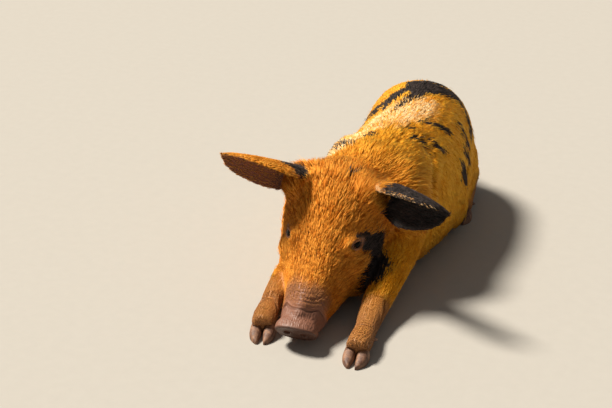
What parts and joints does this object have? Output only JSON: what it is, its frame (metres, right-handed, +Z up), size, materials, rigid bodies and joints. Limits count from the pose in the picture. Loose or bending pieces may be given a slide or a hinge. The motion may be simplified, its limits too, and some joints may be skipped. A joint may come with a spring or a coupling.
{
  "type": "piglet",
  "caption": "Ginger piglet with black spots, lying on its belly with its chin on the ground and its forelegs stretched forward.",
  "frame": {"origin": "on the ground, under the middle of the piglet's box", "axes": "+Z up, +Y towards the tail, +X towards the piglet's left side, in metres"},
  "size_m": [0.3286, 0.6576, 0.2194],
  "materials": {
    "coat": "short bristly ginger hair with black spots",
    "dark_coat": "short dark grey hair",
    "bare_skin": "bare, wrinkled skin",
    "claw_horn": "horn, dull",
    "eye": "wet dark brown"
  },
  "bodies": {
    "root": {"head": "coat", "jaw": "coat", "snout": "bare_skin", "ear_left": "dark_coat", "ear_right": "coat", "eye_left": "eye", "eye_right": "eye", "neck": "coat", "torso": "coat", "rump": "coat", "tail": "coat", "foreleg_upper_left": "coat", "foreleg_upper_right": "coat", "foreleg_lower_left": "coat", "foreleg_lower_right": "coat", "hindleg_upper_left": "coat", "hindleg_upper_right": "coat", "hindleg_lower_left": "coat", "hindleg_lower_right": "coat", "foreleg_left_claw_inner": "claw_horn", "foreleg_left_claw_outer": "claw_horn", "foreleg_left_dewclaw_inner": "claw_horn", "foreleg_left_dewclaw_outer": "claw_horn", "foreleg_right_claw_inner": "claw_horn", "foreleg_right_claw_outer": "claw_horn", "foreleg_right_dewclaw_inner": "claw_horn", "foreleg_right_dewclaw_outer": "claw_horn", "hindleg_left_claw_inner": "claw_horn", "hindleg_left_claw_outer": "claw_horn", "hindleg_left_dewclaw_inner": "claw_horn", "hindleg_left_dewclaw_outer": "claw_horn", "hindleg_right_claw_inner": "claw_horn", "hindleg_right_claw_outer": "claw_horn", "hindleg_right_dewclaw_inner": "claw_horn", "hindleg_right_dewclaw_outer": "claw_horn"}
  },
  "joints": []
}
